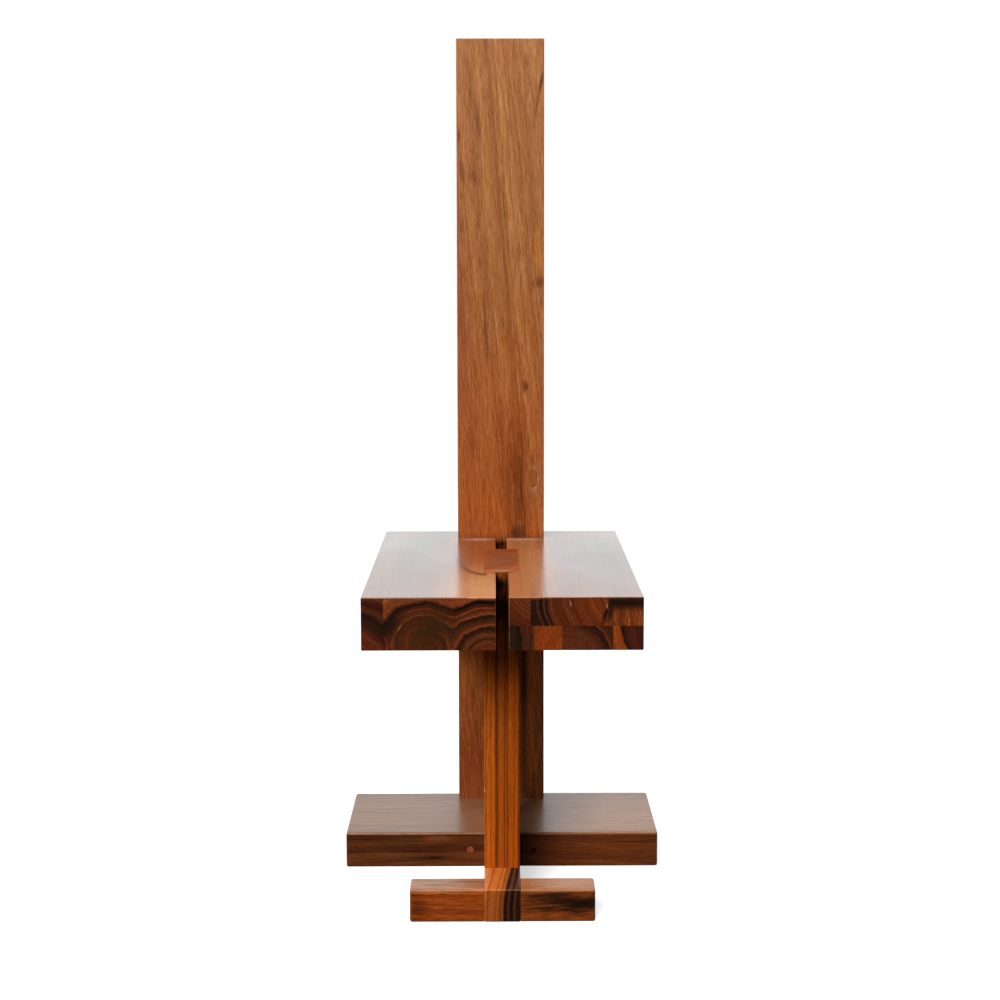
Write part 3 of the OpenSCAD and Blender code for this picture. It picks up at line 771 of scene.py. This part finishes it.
# Its lower layer: black wood by the slot with painted shade on its slot wall, a bright stave, a brown one,
# and one with a bright corner
lay_stave("seat_right_lower_inner_stave", [pith((-0.060, seat_front, 0.395))],
          [(64, (60, 34, 18)), (70, (50, 36, 20)), (78, (56, 36, 20)), (81, (26, 14, 8)), (86, (76, 42, 26)),
           (91, (118, 64, 38)), (96, (84, 44, 24)), (104, (116, 58, 26))],
          ring=2.4, ring_depth=0.8, waver=3.6, end_shade=0.5, pale=2.0, seed=15.0,
          marks=[mark((0.008, -0.12, 0.395), (0.003, 0.09, 0.035), slot_painted_shade, 0.85)])

lay_stave("seat_right_lower_narrow_stave", [pith((0.150, seat_front, 0.340))],
          [(80, (168, 80, 24)), (100, (172, 82, 26)), (120, (160, 74, 22)), (150, (176, 90, 34))],
          ring=4.0, ring_depth=0.5, waver=4.0, end_shade=0.54, pale=1.2, seed=17.0)

lay_stave("seat_right_lower_main_stave", [pith((0.080, seat_front, 0.372))],
          [(0, (104, 54, 28)), (30, (118, 62, 34)), (42, (92, 46, 24)), (50, (64, 33, 18)),
           (53, (62, 32, 17)), (55, (150, 88, 62)), (56.5, (104, 54, 34)), (64, (80, 40, 24)),
           (80, (90, 46, 24))],
          ring=2.8, ring_depth=0.8, waver=3.6, end_shade=0.52, pale=1.2, seed=19.0)

lay_stave("seat_right_lower_edge_stave", [pith((0.260, seat_front, 0.420))],
          [(80, (84, 42, 24)), (100, (96, 44, 24)), (107, (70, 34, 20)), (110, (34, 17, 10)),
           (112, (168, 84, 32)), (124, (176, 88, 30)), (140, (150, 74, 30))],
          ring=3.4, ring_depth=0.6, waver=4.6, end_shade=0.52, pale=1.4, seed=21.0)


# ---- Rear foot ------------------------------------------------------------------------------------
# A wide plank laid flat behind, notched for the post and housed round the back plank. Long screws from
# its front edge hold the back plank, and a wooden plug hides each screw head.
foot_low, foot_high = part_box("rear_foot")
rear_foot_plan = [
    (foot_low.x, foot_low.y, True), (post_low.x, foot_low.y, False), (post_low.x, post_high.y, False),
    (post_high.x, post_high.y, False), (post_high.x, foot_low.y, True), (foot_high.x, foot_low.y, True),
    (foot_high.x, foot_high.y, True), (plank_high.x, foot_high.y, False), (plank_high.x, plank_low.y, False),
    (plank_low.x, plank_low.y, False), (plank_low.x, foot_high.y, True), (foot_low.x, foot_high.y, True)]
rear_foot = planed_board("planed_rear_foot", rear_foot_plan, foot_low.z, foot_high.z, ease=0.003)
bore_for(rear_foot, "rear_foot_plug_left")
bore_for(rear_foot, "rear_foot_plug_right")
bore_for(rear_foot, "rear_foot_screws")
foot_wood = timber(
    "oiled_rear_foot", "X", [pith((0.0, 0.16, -0.085), lean=(0.6, 0.4))],
    [(60, (92, 46, 18)), (150, (88, 44, 18)), (166, (104, 54, 24)), (172, (80, 38, 16)), (178, (98, 50, 22)),
     (184, (74, 36, 15)), (190, (100, 50, 22)), (205, (80, 40, 17)), (240, (98, 50, 22))],
    ring=3.4, ring_depth=0.5, fibres=1.2, waver=6.0, end_shade=0.6, calm_top=0.4, gloss=0.3, seed=3.0,
    # The whole top is painted paler and greyer: a painted reflection of the lit wall behind
    marks=[mark((0.0, 0.087, foot_high.z), (0.60, 0.20, 0.004), (146, 102, 72), 0.85),
           mark((-0.092, foot_low.y, 0.042), (0.030, 0.02, 0.008), (140, 78, 40), 0.6),
           mark((-0.105, foot_low.y, 0.013), (0.060, 0.02, 0.005), (40, 20, 10), 0.8),
           mark((-0.095, foot_low.y, 0.014), (0.018, 0.02, 0.003), (16, 9, 6), 0.9),
           # Painted light: the right of the front and of the top are paler, lifting the shade that the post
           # and the seat cast there
           mark((0.140, foot_low.y, 0.028), (0.240, 0.02, 0.060), (134, 66, 27), 0.6),
           mark((0.140, 0.087, foot_high.z), (0.240, 0.20, 0.004), (186, 130, 94), 0.6)])
hand_in(rear_foot, "rear_foot_wood", foot_wood, "rear_foot")

plug_gap = 0.0003
plug_colours = {"left": ((170, 92, 58), (158, 82, 50)), "right": ((84, 38, 20), (70, 30, 16))}
for side, (light, dark) in plug_colours.items():
    node = "rear_foot_plug_" + side
    low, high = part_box(node)
    middle = ((low.x + high.x) / 2, (low.z + high.z) / 2)
    plug = rounded_plug("screw_plug_" + side, middle, (high.x - low.x) / 2 - plug_gap,
                        (high.z - low.z) / 2 - plug_gap, low.y, high.y - low.y, rim=0.0006)
    plug_wood = timber("oiled_plug_" + side, "Y", [pith((middle[0] - 0.03, 0.0, 0.01))],
                       [(0, light), (32, dark), (40, light)], end_shade=0.9, ring=1.4, seed=23.0)
    hand_in(plug, "plug_wood", plug_wood, node)


# ---- Runner ---------------------------------------------------------------------------------------
# The stem of the front foot: a board on edge from under the post to between the two arms, so its planed
# end is the middle of the foot. Half of it is dark striped heartwood.
runner_low, runner_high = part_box("foot_runner")
runner = planed_board("planed_foot_runner", box_plan("foot_runner"), runner_low.z, runner_high.z, ease=0.002)
bore_for(runner, "runner_dowels")
bore_for(runner, "front_foot_dowels")
runner_wood = timber(
    "oiled_runner", "Y", [pith((0.194, runner_low.y, 0.010), lean=(0.0, -8.0))],
    [(150, (60, 32, 16)), (174, (40, 21, 12)), (178, (104, 56, 26)), (180, (36, 19, 11)),
     (184, (44, 24, 13)), (186, (110, 60, 28)), (188, (38, 20, 11)), (191.5, (40, 22, 12)),
     (193.5, (176, 94, 34)), (197, (126, 62, 25)), (200, (190, 100, 38)), (209, (200, 110, 45)),
     (215, (180, 90, 32)), (218, (206, 122, 62)), (250, (184, 92, 32))],
    ring=2.6, ring_depth=0.5, waver=1.6, end_shade=0.70, coat=0.45, gloss=0.3, seed=6.0)
hand_in(runner, "runner_wood", runner_wood, "foot_runner")


# ---- Front foot -----------------------------------------------------------------------------------
# Two short arms glued and doweled to the sides of the runner's front end, flush with its front and top.
high_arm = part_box("front_foot_left")[1].z
arm_figures = {
    "left": dict(piths=[pith((0.0, -0.150, 0.075), lean=(3.0, -2.0))],
                 zones=[(0, (176, 82, 23)), (30, (160, 72, 20)), (44, (178, 84, 25)), (60, (154, 68, 19)),
                        (90, (172, 80, 23))],
                 ring=2.4, ring_depth=0.8, fibres=1.4, waver=9.0, seed=8.0,
                 # The top is painted paler and greyer: a painted reflection of the lit wall
                 marks=[mark((-0.09, -0.10, high_arm), (0.12, 0.10, 0.005), (168, 128, 96), 0.85),
                        mark((-0.112, -0.119, 0.020), (0.022, 0.012, 0.030), (74, 30, 10), 0.7),
                        mark((-0.085, -0.106, high_arm), (0.036, 0.0035, 0.004), (104, 66, 46), 0.7),
                        mark((-0.048, -0.098, high_arm), (0.030, 0.0035, 0.004), (104, 66, 46), 0.7)]),
    "right": dict(piths=[pith((0.0, -0.070, 0.160), lean=(-2.0, 3.0))],
                  zones=[(80, (170, 84, 28)), (120, (152, 74, 24)), (133, (164, 80, 26)),
                         (160, (150, 72, 24)), (200, (166, 82, 26))],
                  ring=2.8, ring_depth=0.5, fibres=1.4, waver=4.0, seed=10.0,
                  marks=[mark((0.098, -0.119, 0.026), (0.110, 0.012, 0.031), (38, 19, 8), 0.94),
                         mark((0.060, -0.119, 0.029), (0.060, 0.012, 0.018), (52, 25, 10), 0.8),
                         mark((0.118, -0.119, 0.027), (0.060, 0.012, 0.022), (22, 13, 7), 0.85),
                         mark((0.100, -0.119, 0.004), (0.060, 0.012, 0.007), (150, 74, 26), 0.7),
                         # The last mark paints the top paler and greyer: a painted reflection of the lit
                         # wall
                         mark((0.09, -0.10, high_arm), (0.12, 0.10, 0.005), (180, 126, 88), 0.85)])}
for side, figure in arm_figures.items():
    node = "front_foot_" + side
    low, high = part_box(node)
    arm_plan = box_plan(node, open_right=side == "right", open_left=side == "left")
    arm = planed_board("planed_" + node, arm_plan, low.z, high.z, ease=0.003)
    bore_for(arm, "front_foot_dowels")
    arm_wood = timber("oiled_" + node, "X", end_shade=0.6, calm_top=0.4, coat=0.7, gloss=0.3, **figure)
    hand_in(arm, "front_foot_wood", arm_wood, node)


# ---- Dowels and screws ----------------------------------------------------------------------------
# Beech dowels glued across the joints and two zinc-plated screws, all hidden in their holes.
beech = timber("beech_dowel", "Y", [pith((0.3, 0.0, 0.3))],
               [(0, (206, 166, 120)), (600, (206, 166, 120))],
               ring=2.0, ring_depth=0.15, end_shade=0.8, coat=0.0)
zinc_plate = bpy.data.materials.new("zinc_plated_steel")
zinc = Finish(zinc_plate)
zinc_dark = (0.52, 0.54, 0.57, 1)
zinc_light = (0.66, 0.67, 0.68, 1)
spangle = zinc.noise(zinc.stretch(zinc.add("TexCoord", {}, "Object"), across=900.0, along=900.0))
zinc.show(zinc.add("BsdfPrincipled", {
    "Base Color": zinc.mix(spangle, zinc_dark, zinc_light), "Metallic": 1.0,
    "Roughness": zinc.remap(spangle, 0.3, 0.7, 0.28, 0.42)}))
hidden = {"post_seat_dowels": beech, "back_seat_dowels": beech, "front_foot_dowels": beech,
          "runner_dowels": beech, "rear_foot_screws": zinc_plate}
for node, material in hidden.items():
    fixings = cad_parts[node]
    for material_slot in fixings.material_slots:
        material_slot.material = material
